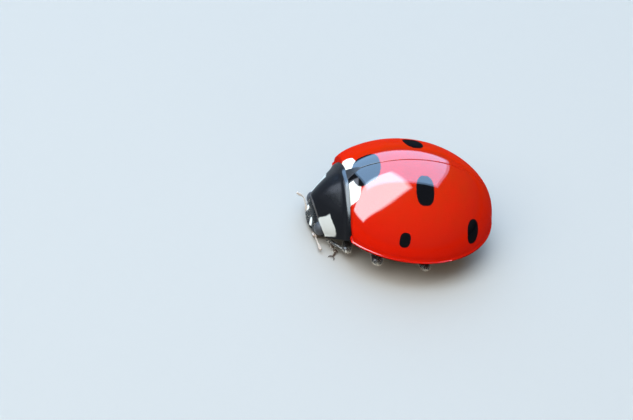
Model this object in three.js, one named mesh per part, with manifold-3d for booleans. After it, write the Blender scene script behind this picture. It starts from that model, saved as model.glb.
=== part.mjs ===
// A seven-spot ladybird at rest with its legs tucked in, life size, as closed solids.
// Millimetres, +Z up, head towards -Y, the animal's left towards +X, feet on z = 0.
// The body is drawn with z = 0 at the lower edge of the wing cases, then raised to stand.
import * as THREE from "three";
import { mergeVertices } from "three/addons/utils/BufferGeometryUtils.js";
import Module from "manifold-3d";

const wasm = await Module();
wasm.setup();

// ---- driving dimensions ----
const rideHeight = 1.1; // floor to the lower edge of the wing cases
const seam = 0.02; // gap left between neighbouring parts
const cutSliver = 0.012; // slivers thinner than this are merged after a cut

const wingCase = {
  front: -3.2, // the dome's front pole, hidden under the neck shield
  rear: 3.22,
  widestAt: -0.12,
  halfWidth: 2.9,
  height: 2.44,
  widthPower: [0.8, 1.0], // fullness of the plan, front and rear
  heightPower: [0.82, 1.04], // fullness of the profile, front and rear
  squareness: 1.7, // 2 is an ellipse across the body
  thickness: 0.48,
  shoulder: { at: 0.2, angle: 0.95, rise: 0.1, along: 0.09, around: 0.42 },
};
const joint = { y: -2.5, tilt: 0.13 }; // where the neck shield meets the wing cases

const shield = {
  hind: { y: -2.35, z: -0.02, halfWidth: 1.92, height: 1.6, lean: 0.15 },
  fore: { y: -3.17, z: -0.7, halfWidth: 1.12, height: 1.01, lean: 0.608 },
  squareness: [1.75, 1.4], // of the hind and fore sections
  thickness: 0.48,
  bow: 0.06, // how far the slope from hind to fore edge bulges
};
const neck = { depth: 0.25 }; // how far the chest hangs below the shield's edge

const skull = {
  centre: [0, -3.08, -0.6],
  halfSize: [0.98, 0.5, 0.44],
  squareness: 2.4,
};
const eye = { centre: [0.8, -3.26, -0.56], halfSize: [0.25, 0.27, 0.28] };
const lip = { centre: [0, -3.46, -0.84], halfSize: [0.44, 0.27, 0.24] };
const belly = { depth: 0.42, roundness: 1.4 };
const scutellum = { y: -2.62, z: 1.6, radius: 0.31, depth: 0.5, stretch: 0.95 };

// Where the underside is parted, from the neck back to the first ventral plate.
const chestEnd = -1.6;
const hindChestEnd = 0.0;

// The legs from hip to toe, all drawn on the left. The right fore leg is drawn in closer.
const legs = {
  front: {
    left: {
      hip: [0.36, -2.1, -0.62],
      knee: [1.88, -2.52, -0.6],
      ankle: [1.28, -2.88, -0.86],
      toe: [1.86, -3.02, -0.88],
    },
    right: {
      hip: [0.36, -2.1, -0.62],
      knee: [1.6, -2.3, -0.56],
      ankle: [1.16, -2.66, -0.86],
      toe: [1.24, -2.08, -0.88],
    },
  },
  middle: {
    hip: [0.56, -1.16, -0.5],
    knee: [2.54, -1.52, -0.47],
    ankle: [1.36, -1.12, -0.86],
    toe: [1.3, -0.44, -0.88],
  },
  hind: {
    hip: [0.5, 0.36, -0.46],
    knee: [2.74, 0.32, -0.45],
    ankle: [1.44, 0.78, -0.86],
    toe: [1.26, 1.44, -0.88],
  },
};
const legRadius = { coxa: 0.3, femur: 0.28, tibia: 0.25, tarsus: 0.25 };
const coxaShare = 0.3; // of the way from hip to knee
const kneeShare = 0.14; // of the way from knee to ankle, where the shin starts

const feelerRadius = 0.25;
const feelers = {
  left: [
    [0.62, -3.34, -0.8],
    [1.12, -3.44, -0.82],
    [1.6, -3.36, -0.84],
  ],
  right: [
    [-0.5, -3.3, -0.72],
    [-0.6, -3.66, -0.56],
    [-0.72, -4.06, -0.36],
  ],
};
const palp = [
  [0.3, -3.2, -0.84],
  [0.54, -3.4, -0.85],
  [0.76, -3.42, -0.85],
];

const finishes = {
  red: { color: 0xc8280a, roughness: 0.18 },
  black: { color: 0x0c0c0e, roughness: 0.22 },
  dull: { color: 0x14110f, roughness: 0.5 },
  eye: { color: 0x2c2e32, roughness: 0.3 },
  brown: { color: 0x6e4a2c, roughness: 0.45 },
};
const finishOf = {
  elytron: "red",
  eye: "eye",
  antenna: "brown",
  palp: "brown",
  tarsus: "brown",
  mesothorax: "dull",
  metathorax: "dull",
  abdomen: "dull",
};

// ---- shape tools ----
const V = (p) => new THREE.Vector3(...p);
const mix = THREE.MathUtils.lerp;
const clamp = THREE.MathUtils.clamp;
const power = (value, exponent) => Math.sign(value) * Math.abs(value) ** exponent;
// 0 at both poles and 1 half way, exactly 0 at the ends so that a pole is one point.
const poleArch = (share) => (share < 1e-6 || share > 1 - 1e-6 ? 0 : Math.sin(share * Math.PI));

// A sphere whose vertices are put where place(angle, share) says: angle goes round the Y axis from
// the top towards +X, and share runs from the front pole, 0, to the rear pole, 1.
function formed(columns, rows, place) {
  const geometry = new THREE.SphereGeometry(1, columns, rows);
  const position = geometry.getAttribute("position");
  const normal = new THREE.Vector3();
  for (let i = 0; i < position.count; i++) {
    normal.fromBufferAttribute(position, i);
    const share = Math.acos(clamp(normal.y, -1, 1)) / Math.PI;
    position.setXYZ(i, ...place(Math.atan2(normal.x, normal.z), share).toArray());
  }
  return solidFrom(geometry);
}

function solidFrom(geometry) {
  const bare = new THREE.BufferGeometry()
    .setAttribute("position", geometry.getAttribute("position"))
    .setIndex(geometry.index);
  const merged = mergeVertices(bare, 1e-4);
  const vertProperties = merged.attributes.position.array;
  const triVerts = new Uint32Array(merged.index.array);
  const solid = new wasm.Manifold(new wasm.Mesh({ numProp: 3, vertProperties, triVerts }));
  if (solid.volume() > 0) return solid;
  triVerts.reverse(); // the faces pointed inwards
  return new wasm.Manifold(new wasm.Mesh({ numProp: 3, vertProperties, triVerts }));
}

function geometryFrom(solid) {
  const mesh = solid.getMesh();
  const points = new Float32Array(mesh.numVert * 3);
  for (let i = 0; i < mesh.numVert; i++) {
    points.set(mesh.vertProperties.subarray(i * mesh.numProp, i * mesh.numProp + 3), i * 3);
  }
  return new THREE.BufferGeometry()
    .setAttribute("position", new THREE.BufferAttribute(points, 3))
    .setIndex(new THREE.BufferAttribute(mesh.triVerts, 1));
}

// A cutting block between two corners, tilted about the X axis through a pivot.
function block(low, high, tilt = 0, pivot = [0, 0, 0]) {
  const size = V(high).sub(V(low));
  const centre = V(low).add(V(high)).multiplyScalar(0.5).sub(V(pivot));
  const geometry = new THREE.BoxGeometry(size.x, size.y, size.z)
    .translate(centre.x, centre.y, centre.z)
    .rotateX(tilt)
    .translate(...pivot);
  return solidFrom(geometry);
}

const far = 9; // reach of a cutting block
const ahead = (y, tilt = 0, z = 0) =>
  block([-far, y - far, z - far], [far, y, z + far], tilt, [0, y, z]);
const behind = (y, tilt = 0) => block([-far, y, -far], [far, y + far, far], tilt, [0, y, 0]);
const leftHalf = () => block([seam / 2, -far, -far], [far, far, far]);
const above = (z) => block([-far, -far, z], [far, far, z + far]);
const mirrored = (solid) => solid.mirror([1, 0, 0]);
const withBoth = (solid) => solid.add(mirrored(solid));

// A limb of round section along a path of points, its ends rounded.
function limb(path, radius, grow = 0, columns = 8, rows = 7) {
  const points = path.map(V);
  const curve = new THREE.CatmullRomCurve3(points, false, "centripetal");
  const side = new THREE.Vector3();
  const up = new THREE.Vector3();
  return formed(columns, rows, (angle, share) => {
    const along = (1 - Math.cos(share * Math.PI)) / 2;
    const tangent = curve.getTangentAt(along);
    side.crossVectors(tangent, new THREE.Vector3(0, 0.2, 1)).normalize();
    up.crossVectors(side, tangent).normalize();
    const reach = (radius + grow) * poleArch(share) ** 0.6;
    return curve
      .getPointAt(along)
      .addScaledVector(tangent, grow * (2 * along - 1))
      .addScaledVector(side, reach * Math.sin(angle))
      .addScaledVector(up, reach * Math.cos(angle));
  });
}

// An egg round a centre; squareness 2 is an ellipsoid, and more is boxier.
function egg({ centre, halfSize, squareness = 2 }, grow, columns, rows) {
  const bend = 2 / squareness;
  return formed(columns, rows, (angle, share) => {
    const across = poleArch(share) ** bend;
    return new THREE.Vector3(
      (halfSize[0] + grow) * across * power(Math.sin(angle), bend),
      -(halfSize[1] + grow) * power(Math.cos(share * Math.PI), bend),
      (halfSize[2] + grow) * across * power(Math.cos(angle), bend),
    ).add(V(centre));
  });
}

// ---- the wing cases' dome, and the trunk inside it ----
// A point of the dome, moved in by inset. Below its edge it closes as a shallow belly.
function domePoint(angle, share, inset, depth) {
  const { rear, front, widestAt, shoulder, squareness } = wingCase;
  const turn = share * Math.PI;
  const end = turn > Math.PI / 2 ? 1 : 0;
  const reach = (end ? rear - widestAt : widestAt - front) - inset;
  const arch = poleArch(share);
  const callus =
    shoulder.rise *
    Math.exp(-(((share - shoulder.at) / shoulder.along) ** 2)) *
    Math.exp(-(((Math.abs(angle) - shoulder.angle) / shoulder.around) ** 2));
  const halfWidth = (wingCase.halfWidth - inset) * arch ** wingCase.widthPower[end] + callus;
  const height = (wingCase.height - inset) * arch ** wingCase.heightPower[end] + callus;
  const up = Math.cos(angle);
  return new THREE.Vector3(
    halfWidth * power(Math.sin(angle), 2 / squareness),
    widestAt - Math.cos(turn) * reach,
    up > 0 ? height * up ** (2 / squareness) : depth * arch ** 0.6 * power(up, belly.roundness),
  );
}

const dome = (inset, depth, columns, rows) =>
  formed(columns, rows, (angle, share) => domePoint(angle, share, inset, depth));

// ---- the neck shield's hood ----
// Sections run from behind the joint, share 0, to ahead of the fore edge, share 1.
function hoodPoint(angle, share, inset, depth) {
  const { hind, fore, bow, squareness } = shield;
  const along = mix(-0.7, 1.9, share);
  const swell = bow * Math.sin(clamp(along, 0, 1) * Math.PI);
  const lean = mix(hind.lean, fore.lean, along);
  const close = poleArch(share) ** 0.12;
  const halfWidth = (mix(hind.halfWidth, fore.halfWidth, along) + 0.4 * swell - inset) * close;
  const height = (mix(hind.height, fore.height, along) + swell - inset) * close;
  const bend = 2 / mix(...squareness, clamp(along, 0, 1));
  const up = Math.cos(angle);
  const rise = up > 0 ? height * up ** bend : depth * up * close;
  return new THREE.Vector3(
    halfWidth * power(Math.sin(angle), bend),
    mix(hind.y, fore.y, along) - rise * Math.sin(lean),
    mix(hind.z, fore.z, along) + rise * Math.cos(lean),
  );
}

const hood = (inset, depth, columns, rows) =>
  formed(columns, rows, (angle, share) => hoodPoint(angle, share, inset, depth));

// ---- parts, each carved clear of those made before it ----
const parts = new Map();
const carve = (solid, tools) => tools.reduce((rest, tool) => rest.subtract(tool), solid);
const floor = -rideHeight;
const behindJoint = behind(joint.y, joint.tilt);
const aheadOfJoint = ahead(joint.y - seam, joint.tilt);

function legSolids({ hip, knee, ankle, toe }, grow = 0) {
  const coxaEnd = V(hip).lerp(V(knee), coxaShare).toArray();
  return {
    coxa: limb([hip, coxaEnd], legRadius.coxa, grow),
    femur: limb([coxaEnd, knee], legRadius.femur, grow),
    tibia: limb([V(knee).lerp(V(ankle), kneeShare).toArray(), ankle], legRadius.tibia, grow),
    tarsus: limb([ankle, toe], legRadius.tarsus, grow),
  };
}

const sides = { left: (solid) => solid, right: mirrored };
const grooves = []; // the legs' hollows in the trunk
for (const [pair, poses] of Object.entries(legs)) {
  for (const [side, place] of Object.entries(sides)) {
    const joints = poses[side] ?? poses;
    const { coxa, femur, tibia, tarsus } = legSolids(joints);
    const room = legSolids(joints, seam);
    const end = `_${pair}_${side}`;
    parts.set("tarsus" + end, place(tarsus.intersect(above(floor))));
    parts.set("tibia" + end, place(carve(tibia, [room.tarsus])));
    parts.set("femur" + end, place(carve(femur, [room.tibia, room.tarsus])));
    parts.set("coxa" + end, place(carve(coxa, [room.femur, room.tibia, room.tarsus])));
    grooves.push(...Object.values(room).map(place));
  }
}
const hollows = wasm.Manifold.union(grooves);

const skullSolid = (grow) => egg(skull, grow, 20, 12);
const eyeSolid = (grow) => egg(eye, grow, 10, 8);
const lipSolid = (grow) => egg(lip, grow, 10, 7);
const eyes = withBoth(eyeSolid(seam));
const headRoom = wasm.Manifold.union([skullSolid(seam), eyes, lipSolid(seam)]);
parts.set("eye", eyeSolid(0));
parts.set("labrum", carve(lipSolid(0), [skullSolid(seam), eyes]));
parts.set("head", carve(skullSolid(0), [eyes]));
parts.set("palp", carve(limb(palp, feelerRadius), [headRoom]));

const hoodOuter = hood(0, 0.02, 24, 18);
const foreCut = ahead(shield.fore.y, shield.fore.lean, shield.fore.z);
const collar = aheadOfJoint.subtract(foreCut);
parts.set(
  "pronotum",
  carve(hoodOuter.intersect(collar), [hood(shield.thickness, 3, 16, 12), headRoom, hollows]),
);
parts.set(
  "prothorax",
  carve(hood(shield.thickness + seam, neck.depth, 16, 12).intersect(collar), [headRoom, hollows]),
);

const palpRoom = withBoth(limb(palp, feelerRadius, seam));
for (const [side, path] of Object.entries(feelers)) {
  const near = [headRoom, palpRoom, hood(-seam, 0.02, 20, 14).intersect(collar)];
  parts.set("antenna_" + side, carve(limb(path, feelerRadius, 0, 8, 10), near));
}

function wedge(grow) {
  const { y, z, radius, depth, stretch } = scutellum;
  const size = radius + grow;
  const prism = new THREE.CylinderGeometry(size, size, depth + 2 * grow, 3)
    .rotateX(-Math.PI / 2)
    .scale(1, stretch, 1)
    .translate(0, y, z);
  return solidFrom(prism);
}
const shells = dome(0, 0.5, 40, 24)
  .intersect(above(0))
  .intersect(behindJoint)
  .subtract(dome(wingCase.thickness, 3, 20, 14));
parts.set("scutellum", shells.intersect(wedge(0)));
parts.set("elytron", carve(shells, [wedge(seam)]).intersect(leftHalf()));

const trunk = carve(dome(wingCase.thickness + seam, belly.depth, 20, 14), [hollows]).intersect(
  behindJoint,
);
parts.set("mesothorax", trunk.intersect(ahead(chestEnd)));
parts.set("metathorax", trunk.intersect(behind(chestEnd + seam)).intersect(ahead(hindChestEnd)));
parts.set("abdomen", trunk.intersect(behind(hindChestEnd + seam)));

// ---- the finished scene graph ----
const root = new THREE.Group();
function put(name, solid) {
  const finish = finishes[finishOf[name.split("_")[0]] ?? "black"];
  const material = new THREE.MeshStandardMaterial({ ...finish, metalness: 0 });
  const mesh = new THREE.Mesh(geometryFrom(solid.simplify(cutSliver)), material);
  mesh.name = name;
  root.add(mesh);
}
for (const [name, solid] of parts) {
  if (["eye", "palp", "elytron"].includes(name)) {
    put(name + "_left", solid);
    put(name + "_right", mirrored(solid));
  } else {
    put(name, solid);
  }
}

// The origin is on the floor, under the middle of the whole.
const whole = new THREE.Box3().setFromObject(root);
const middle = whole.getCenter(new THREE.Vector3());
root.position.set(-middle.x, -middle.y, -whole.min.z);
export default root;
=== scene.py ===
import math

import bmesh
import bpy
import numpy as np
from mathutils import Euler, Matrix, Vector


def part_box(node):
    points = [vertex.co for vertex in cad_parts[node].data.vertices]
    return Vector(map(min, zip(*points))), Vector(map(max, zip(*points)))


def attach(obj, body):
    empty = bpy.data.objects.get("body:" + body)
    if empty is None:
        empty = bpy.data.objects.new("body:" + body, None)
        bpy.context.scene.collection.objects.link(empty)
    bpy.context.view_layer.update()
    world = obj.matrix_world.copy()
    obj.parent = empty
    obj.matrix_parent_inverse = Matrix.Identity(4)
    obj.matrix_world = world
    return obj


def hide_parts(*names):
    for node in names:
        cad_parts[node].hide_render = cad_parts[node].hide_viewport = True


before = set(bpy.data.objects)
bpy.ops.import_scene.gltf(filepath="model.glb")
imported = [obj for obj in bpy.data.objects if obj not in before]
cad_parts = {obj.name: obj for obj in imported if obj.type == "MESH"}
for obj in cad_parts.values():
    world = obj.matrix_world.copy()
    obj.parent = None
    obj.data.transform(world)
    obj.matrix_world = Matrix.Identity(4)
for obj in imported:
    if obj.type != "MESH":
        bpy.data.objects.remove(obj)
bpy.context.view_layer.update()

mm = 0.001
print("frame loaded:", len(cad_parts), "nodes")

# The animal is drawn in millimetres: zero on the mid line, level with the wing cases' lower edge,
# head towards -Y and its left towards +X. bodyOrigin is where that zero lies.
caseLow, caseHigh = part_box("elytron_left")
dome = {
    "front": -3.2,
    "rear": 3.22,
    "widestAt": -0.12,
    "halfWidth": caseHigh.x / mm,
    "height": (caseHigh.z - caseLow.z) / mm,
    "widthPower": (0.8, 1.0),
    "heightPower": (0.82, 1.04),
    "squareness": 1.7,
    "shoulder": {"at": 0.2, "angle": 0.95, "rise": 0.1, "along": 0.09, "around": 0.42},
}
bodyOrigin = Vector((0, caseHigh.y - dome["rear"] * mm, caseLow.z))
floorLevel = -caseLow.z / mm
neckJoint = {"y": -2.5, "tilt": 0.13}


def newObject(name, data):
    item = bpy.data.objects.new(name, data)
    bpy.context.scene.collection.objects.link(item)
    return item


def meshFrom(name, points, faces):
    world = np.asarray(points, float) * mm + np.array(bodyOrigin)
    mesh = bpy.data.meshes.new(name)
    mesh.from_pydata(world.tolist(), [], faces)
    mesh.validate(clean_customdata=False)
    mesh.polygons.foreach_set("use_smooth", [True] * len(mesh.polygons))
    mesh.update()
    return newObject(name, mesh)


def finishPiece(piece, material, slotName, *nodes):
    piece.data.materials.append(material)
    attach(piece, "root")
    if nodes:
        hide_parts(*nodes)
    return piece


def unit(vectors):
    length = np.linalg.norm(vectors, axis=-1, keepdims=True)
    return vectors / np.maximum(length, 1e-9)


def gridNormals(grid):
    return unit(np.cross(np.gradient(grid, axis=0), np.gradient(grid, axis=1)))


def mirrorOf(side):
    return np.array([1 if side == "left" else -1, 1, 1])


def signedPower(values, exponent):
    return np.sign(values) * np.abs(values) ** exponent


def arcFrom(grid, axis):
    # Distance walked over the grid along one axis, from its first line.
    steps = np.linalg.norm(np.diff(grid, axis=axis), axis=-1)
    start = np.zeros_like(np.take(steps, [0], axis=axis))
    return np.concatenate([start, np.cumsum(steps, axis=axis)], axis=axis)


def edgeRound(distance, radius):
    inward = np.clip(1 - distance / radius, 0, 1)
    return -radius * (1 - np.sqrt(np.maximum(1 - inward**2, 0)))


def bump(distance, centre, width):
    return np.exp(-(((distance - centre) / width) ** 2))


def quads(rows, columns, start=0, flip=False):
    i, j = np.meshgrid(np.arange(rows - 1), np.arange(columns - 1), indexing="ij")
    a = (start + i * columns + j).ravel()
    b = a + columns
    ring = (a, a + 1, b + 1, b) if flip else (a, b, b + 1, a + 1)
    return np.stack(ring, 1).tolist()


def shell(name, outer, thickness, normals=None):
    # A closed thin plate: the outer grid, the same grid moved inwards, and the four rims.
    rows, columns = outer.shape[:2]
    normals = gridNormals(outer) if normals is None else normals
    inner = outer - normals * thickness
    points = np.concatenate([outer.reshape(-1, 3), inner.reshape(-1, 3)])
    count = rows * columns
    faces = quads(rows, columns) + quads(rows, columns, count, flip=True)
    index = np.arange(count).reshape(rows, columns)
    border = np.concatenate([index[:, 0], index[-1, 1:], index[-2::-1, -1], index[0, -2:0:-1]])
    following = np.roll(border, -1)
    faces += np.stack([border, following, following + count, border + count], 1).tolist()
    return mended(meshFrom(name, points, faces))


def mended(piece):
    # Joins points that fall together, as at a pole, and turns all faces outwards.
    work = bmesh.new()
    work.from_mesh(piece.data)
    bmesh.ops.remove_doubles(work, verts=work.verts, dist=2e-7)
    bmesh.ops.dissolve_degenerate(work, edges=work.edges, dist=1e-8)
    bmesh.ops.recalc_face_normals(work, faces=work.faces)
    work.to_mesh(piece.data)
    work.free()
    piece.data.update()
    return piece


def joinedPiece(name, grids, material, slotName, *nodes):
    # Grids that wrap round on their first axis and close at poles on their second, as one piece.
    points, faces, total = [], [], 0
    for grid in grids:
        wrapped = np.concatenate([grid, grid[:1]])
        points.append(wrapped.reshape(-1, 3))
        faces += quads(wrapped.shape[0], wrapped.shape[1], total)
        total += len(points[-1])
    piece = mended(meshFrom(name, np.concatenate(points), faces))
    return finishPiece(piece, material, slotName, *nodes)


def solveRow(reached, low, high, steps=40):
    # The share at which a rising function of the share passes zero, for a whole row at once.
    low, high = np.array(low, float), np.array(high, float)
    for _ in range(steps):
        middle = (low + high) / 2
        below = reached(middle) < 0
        low = np.where(below, middle, low)
        high = np.where(below, high, middle)
    return (low + high) / 2


def rowsFrom(first, count):
    # Even steps from each row's own start to the end: shares of the row, and shares of the whole.
    share = np.linspace(0, 1, count)[None, :]
    return share, first[:, None] + (1 - first[:, None]) * share


def archOver(share, power=dome["squareness"], ridge=0.35):
    # Height of an arched section at a share of its half width, with the ridge at the middle rounded.
    soft = ridge * bump(share, 0, ridge)
    return np.clip(1 - (share**2 + soft**2) ** (power / 2) + soft**power, 0, 1) ** (1 / power)


def domeSurface(around, along):
    turn = along * math.pi
    behind = turn > math.pi / 2
    reach = np.where(behind, dome["rear"] - dome["widestAt"], dome["widestAt"] - dome["front"])
    arch = np.clip(np.sin(turn), 0, 1)
    knob = dome["shoulder"]
    callus = knob["rise"] * bump(along, knob["at"], knob["along"])
    callus = callus * bump(np.abs(around), knob["angle"], knob["around"])
    wide = arch ** np.where(behind, dome["widthPower"][1], dome["widthPower"][0])
    high = arch ** np.where(behind, dome["heightPower"][1], dome["heightPower"][0])
    bend = 2 / dome["squareness"]
    x = (dome["halfWidth"] * wide + callus) * signedPower(np.sin(around), bend)
    y = dome["widestAt"] - np.cos(turn) * reach
    z = (dome["height"] * high + callus) * archOver(np.abs(np.sin(around)) ** bend)
    return np.stack(np.broadcast_arrays(x, y, z), -1)


scutellum = {
    "front": -2.74,
    "tip": -2.28,
    "overlap": 0.02,
    "slope": 1.85,
    "bow": 0.05,
    "gap": 0.006,
    "rise": 0.02,
    "sink": 0.012,
    "thickness": 0.06,
}
wingCase = {
    "columns": 130,
    "rows": 190,
    "gap": 0.004,
    "thickness": 0.1,
    "edge": 0.024,  # radius along the suture and the front
    # Heights of the bead and the gutter along the margin, each with its place and its width.
    "bead": (0.02, 0.05, 0.04),
    "gutter": (0.01, 0.17, 0.06),
    "beadStart": 1.2,  # the bead grows over this length from the front
    "foldRound": 0.03,
    "fold": 0.44,
    "wall": 0.3,  # how deep the front edge turns down, as a share of its height
    "tuck": 0.03,  # how far the front edge reaches under the neck shield's rim
    "tuckHeight": 0.25,  # below this height it stays clear of the rim
}


def jointPlane(z):
    return neckJoint["y"] - z * math.tan(neckJoint["tilt"])


def frontWall(edgeLine):
    # The front edge turns down into a wall behind the neck shield.
    depth = np.linspace(1, 0, 9)[None, 1:-1, None] ** 1.5 * wingCase["wall"]
    aim = np.array([0, 0, -0.1])
    return edgeLine + (aim - edgeLine) * np.array([1, 0, 1]) * depth + np.array([0, 0.06, 0]) * depth


def foldUnder(rim, share):
    # The margin turns under into a fold that narrows to nothing at the rear.
    inward = unit(np.stack([-rim[:, 0], 0.35 * (dome["widestAt"] - rim[:, 1]), 0 * rim[:, 0]], -1))
    width = wingCase["fold"] * np.clip(1.25 - share**2 * 1.25, 0.0, 1)
    radius = wingCase["foldRound"]
    under = []
    for turn in np.linspace(0, math.pi, 9)[1:]:
        drop = np.array([0, 0, -radius * math.sin(turn)])
        under.append(rim + inward * (radius - radius * math.cos(turn)) + drop)
    for step in np.linspace(0, 1, 9)[1:]:
        rise = np.array([0, 0, 0.02 + 0.05 * step])
        under.append(rim + inward * (2 * radius + width[:, None] * step) + rise)
    return np.stack(under)


def makeWingCase(side, material):
    across = np.linspace(0, math.pi / 2, wingCase["columns"])

    def pastFront(along):
        place = domeSurface(across, along)
        notch = scutellum["tip"] - np.abs(place[..., 0]) * scutellum["slope"]
        tuck = wingCase["tuck"] * np.clip(place[..., 2] / wingCase["tuckHeight"] - 1, -1, 1)
        return place[..., 1] - np.maximum(jointPlane(place[..., 2]) - tuck, notch)

    first = solveRow(pastFront, np.full_like(across, 0.02), np.full_like(across, 0.6))
    share, along = rowsFrom(first, wingCase["rows"])
    base = domeSurface(across[:, None], along)
    base[..., 0] = np.maximum(base[..., 0], wingCase["gap"])
    normals = gridNormals(base)
    normals[:, -1] = normals[:, -2]
    fromSuture = arcFrom(base, 0)
    fromMargin = fromSuture[-1:] - fromSuture
    fromFront = arcFrom(base, 1)
    lift = edgeRound(fromSuture, wingCase["edge"]) + edgeRound(fromFront, wingCase["edge"])
    bead, gutter = wingCase["bead"], wingCase["gutter"]
    lift += bead[0] * bump(fromMargin, *bead[1:]) * np.clip(fromFront / wingCase["beadStart"], 0, 1)
    lift -= gutter[0] * bump(fromMargin, *gutter[1:])
    # All of it fades where the two edges meet at the rear.
    whole = fromSuture[-1]
    outer = base + normals * (lift * np.clip(whole, 0, 1))[..., None]
    thickness = np.clip(whole * 0.3, 0.004, wingCase["thickness"])
    wall = frontWall(outer[:, :1])
    outer = np.concatenate([wall, outer], axis=1)
    share = np.concatenate([np.zeros((1, wall.shape[1])), share], axis=1)
    thickness = np.concatenate([np.full(wall.shape[1], thickness[0]), thickness])[None, :, None]
    outer = np.concatenate([outer, foldUnder(outer[-1], share[0])])
    normals = gridNormals(outer)
    normals[:, -1] = normals[:, -2]
    if side == "right":
        outer = outer[::-1] * mirrorOf(side)
        normals = normals[::-1] * mirrorOf(side)
    piece = shell("wingCase_" + side, outer, thickness, normals)
    return finishPiece(piece, material, "wing_case_red", "elytron_" + side)


def domeHeight(x, y):
    forward = (y - dome["widestAt"]) / (dome["widestAt"] - dome["front"])
    arch = np.sin(math.pi / 2 + np.arcsin(np.clip(forward, -1, 1)))
    wide = dome["halfWidth"] * arch ** dome["widthPower"][0]
    high = dome["height"] * arch ** dome["heightPower"][0]
    return high * archOver(np.clip(np.abs(x) / wide, 0, 1))


def makeScutellum(material):
    across = np.linspace(-1, 1, 25)[:, None]
    share = np.linspace(0, 1, 25)[None, :]
    back = scutellum["tip"] + scutellum["overlap"]
    y = scutellum["front"] + (back - scutellum["front"]) * share + 0 * across
    # Sides bow out a little between the broad base and the point.
    half = (back - y) / scutellum["slope"] + scutellum["bow"] * np.sin(share * math.pi)
    x = across * np.maximum(half - scutellum["gap"], 0)
    crown = (1 - across**4) * np.clip((1 - share) * 6, 0, 1) ** 0.5
    z = domeHeight(x, y) + scutellum["rise"] * crown - scutellum["sink"]
    piece = shell("scutellum_plate", np.stack([x, y, z], -1), scutellum["thickness"])
    return finishPiece(piece, material, "shield_black", "scutellum")


shield = {
    "hind": {"y": -2.35, "z": -0.02, "halfWidth": 1.92, "height": 1.6, "lean": 0.15},
    "fore": {"y": -3.17, "z": -0.7, "halfWidth": 1.12, "height": 1.01, "lean": 0.608},
    "squareness": (1.64, 1.4),
    "bow": 0.06,
    "columns": 150,
    "rows": 70,
    "thickness": 0.1,
    "seam": 0.004,
    # Heights of the raised rims and the groove inside the side rim, each with place and width.
    "hindRim": (0.0364, 0.16, 0.11),
    "foreRim": (0.0168, 0.05, 0.03),
    "sideRim": (0.014, 0.05, 0.035),
    "sideGroove": (-0.006, 0.15, 0.05),
}


def shieldSection(along):
    hind, fore = shield["hind"], shield["fore"]
    keys = ("halfWidth", "height", "lean", "y", "z")
    return [hind[key] + (fore[key] - hind[key]) * along for key in keys]


def leaningPlaces(x, rise, lean, y, z):
    return np.stack(np.broadcast_arrays(x, y - rise * np.sin(lean), z + rise * np.cos(lean)), -1)


def shieldSurface(around, along):
    wide, high, lean, y, z = shieldSection(along)
    swell = shield["bow"] * np.sin(np.clip(along, 0, 1) * math.pi)
    square = shield["squareness"]
    power = square[0] + (square[1] - square[0]) * np.clip(along, 0, 1)
    rise = (high + swell) * archOver(np.abs(np.sin(around)) ** (2 / power), power, 0.3)
    x = (wide + 0.4 * swell) * signedPower(np.sin(around), 2 / power)
    return leaningPlaces(x, rise, lean, y, z)


def makeShield(material):
    around = np.linspace(-math.pi / 2, math.pi / 2, shield["columns"])

    def beforeHind(along):
        place = shieldSurface(around, along)
        return jointPlane(place[..., 2]) - shield["seam"] - place[..., 1]

    first = solveRow(beforeHind, np.full_like(around, -0.4), np.full_like(around, 0.6))
    along = rowsFrom(first, shield["rows"])[1]
    base = shieldSurface(around[:, None], along)
    normals = -gridNormals(base)
    fromLeft = arcFrom(base, 0)
    fromSide = np.minimum(fromLeft, fromLeft[-1:] - fromLeft)
    fromHind = arcFrom(base, 1)
    fromFore = fromHind[:, -1:] - fromHind
    lift = edgeRound(fromHind, 0.02) + edgeRound(fromFore, 0.04)
    distances = {"sideRim": fromSide, "sideGroove": fromSide, "hindRim": fromHind, "foreRim": fromFore}
    for key, distance in distances.items():
        height, place, width = shield[key]
        lift += height * bump(distance, place, width)
    outer = base + normals * lift[..., None]
    piece = shell("neckShield", outer[::-1], shield["thickness"], normals[::-1])
    return finishPiece(piece, material, "shield_black", "pronotum")


# The front chest under the shield: a rounded core that fills it up to its rims.
chestCore = {
    "inset": 0.14,
    "sag": 0.25,
    "reach": (-0.1, 0.95),
    "roundness": 1.2,
    "endRound": 0.12,
    "columns": 90,
    "rows": 60,
}


def makeChestCore(material):
    around = np.linspace(0, 2 * math.pi, chestCore["columns"], endpoint=False)[:, None]
    share = np.linspace(0, 1, chestCore["rows"])[None, :]
    along = chestCore["reach"][0] + (chestCore["reach"][1] - chestCore["reach"][0]) * share
    wide, high, lean, y, z = shieldSection(along)
    close = np.clip(np.sin(share * math.pi), 0, 1) ** chestCore["endRound"]
    rise = np.where(np.cos(around) > 0, high - chestCore["inset"], chestCore["sag"])
    rise = rise * signedPower(np.cos(around), chestCore["roundness"]) * close + 0.25 * (1 - close)
    x = (wide - chestCore["inset"]) * signedPower(np.sin(around), chestCore["roundness"]) * close
    grid = leaningPlaces(x, rise, lean, y, z)
    return joinedPiece("chestCore", [grid], material, "underside_black", "prothorax")


skull = {"centre": (0, -3.1, -0.65), "halfSize": (1.0, 0.5, 0.44), "squareness": 2.6}
eye = {
    "centre": (0.77, -3.31, -0.58),
    "halfSize": (0.25, 0.25, 0.29),
    "facets": 620,
    "facetSize": 1.9,
    "sides": 6,
    "rings": ((0.75, 0.55), (0.0, 1.0)),  # height and radius of a facet's rings, as shares
    "bulge": 0.28,
    "hidden": -0.35,  # no facets further in towards the head
}
lip = {"centre": (0, -3.34, -0.95), "halfSize": (0.46, 0.26, 0.12), "squareness": 2.5}


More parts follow.
